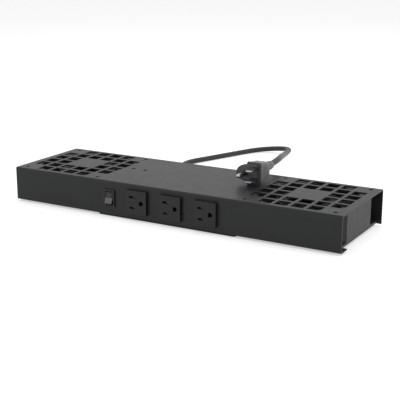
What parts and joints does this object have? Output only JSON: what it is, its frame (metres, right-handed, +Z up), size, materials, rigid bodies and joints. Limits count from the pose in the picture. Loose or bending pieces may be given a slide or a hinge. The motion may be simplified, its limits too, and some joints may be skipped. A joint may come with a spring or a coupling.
{
  "type": "rack fan unit",
  "caption": "Folded steel channel with axial fans under square grilles, a row of power outlets, a rocker switch and a mains cord with a three-prong plug.",
  "frame": {"origin": "bottom centre of the unit without its cord: midway between the ends and between the rocker's raised edge and the rear panel, on the plane of the cover screws' heads", "axes": "+X along the unit towards the right-hand fan, +Y from the front panel to the rear, +Z up"},
  "size_m": [0.429, 0.4187, 0.0696],
  "materials": {
    "painted_steel": "satin dark grey powder coat",
    "black_screws": "black oxide",
    "plated_steel": "zinc plated",
    "switch_plastic": "moulded",
    "rocker_plastic": "moulded",
    "outlet_plastic": "moulded",
    "block_plastic": "moulded",
    "brass": "stamped",
    "cast_frame": "painted die casting",
    "laminations": "varnished",
    "copper": "enamelled wire",
    "black_metal": "black",
    "blade_plastic": "moulded",
    "cord_rubber": "matte jacket",
    "plug_plastic": "soft moulded",
    "live_insulation": "black sleeve",
    "neutral_insulation": "white sleeve",
    "earth_insulation": "green sleeve",
    "prong_metal": "nickel plated"
  },
  "bodies": {
    "root": {"chassis": "painted_steel", "bottom_cover": "painted_steel", "cover_screws": "black_screws", "left_divider": "plated_steel", "right_divider": "plated_steel", "switch_housing": "switch_plastic", "switch_terminals": "brass", "left_grommet": "cord_rubber", "right_grommet": "cord_rubber", "left_fan_leads": "live_insulation", "right_fan_leads": "live_insulation", "outlet_bars": "brass", "live_wires": "live_insulation", "neutral_wires": "neutral_insulation", "earth_wires": "earth_insulation", "terminal_block": "block_plastic", "block_screws": "black_screws", "earth_stud": "plated_steel", "earth_ring": "brass", "earth_nut": "plated_steel", "cord_grip": "cord_rubber", "cord_lead": "cord_rubber", "power_cord": "cord_rubber", "cord_coil": "cord_rubber", "plug_body": "plug_plastic", "plug_blades": "prong_metal", "plug_ground_pin": "prong_metal", "left_fan_frame": "cast_frame", "left_fan_stator": "laminations", "left_fan_windings": "copper", "left_fan_bearings": "plated_steel", "left_fan_screws": "black_screws", "left_fan_nuts": "plated_steel", "right_fan_frame": "cast_frame", "right_fan_stator": "laminations", "right_fan_windings": "copper", "right_fan_bearings": "plated_steel", "right_fan_screws": "black_screws", "right_fan_nuts": "plated_steel", "left_outlet": "outlet_plastic", "left_outlet_contacts": "brass", "middle_outlet": "outlet_plastic", "middle_outlet_contacts": "brass", "right_outlet": "outlet_plastic", "right_outlet_contacts": "brass"},
    "left_rotor": {"left_fan_shaft": "plated_steel", "left_fan_rotor_cup": "black_metal", "left_fan_rotor_core": "laminations", "left_fan_impeller": "blade_plastic"},
    "right_rotor": {"right_fan_shaft": "plated_steel", "right_fan_rotor_cup": "black_metal", "right_fan_rotor_core": "laminations", "right_fan_impeller": "blade_plastic"},
    "rocker": {"switch_rocker": "rocker_plastic"}
  },
  "joints": [
    {"name": "left_fan_spin", "type": "hinge", "parent": "root", "child": "left_rotor", "pos_m": [-0.1505, 0.0021, 0.02], "axis": [0, 0, 1], "continuous": true},
    {"name": "right_fan_spin", "type": "hinge", "parent": "root", "child": "right_rotor", "pos_m": [0.1505, 0.0021, 0.02], "axis": [0, 0, 1], "continuous": true},
    {"name": "switch_rock", "type": "hinge", "parent": "root", "child": "rocker", "pos_m": [-0.074, -0.05875, 0.0227], "axis": [1, 0, 0], "range_deg": [0, 20]}
  ]
}
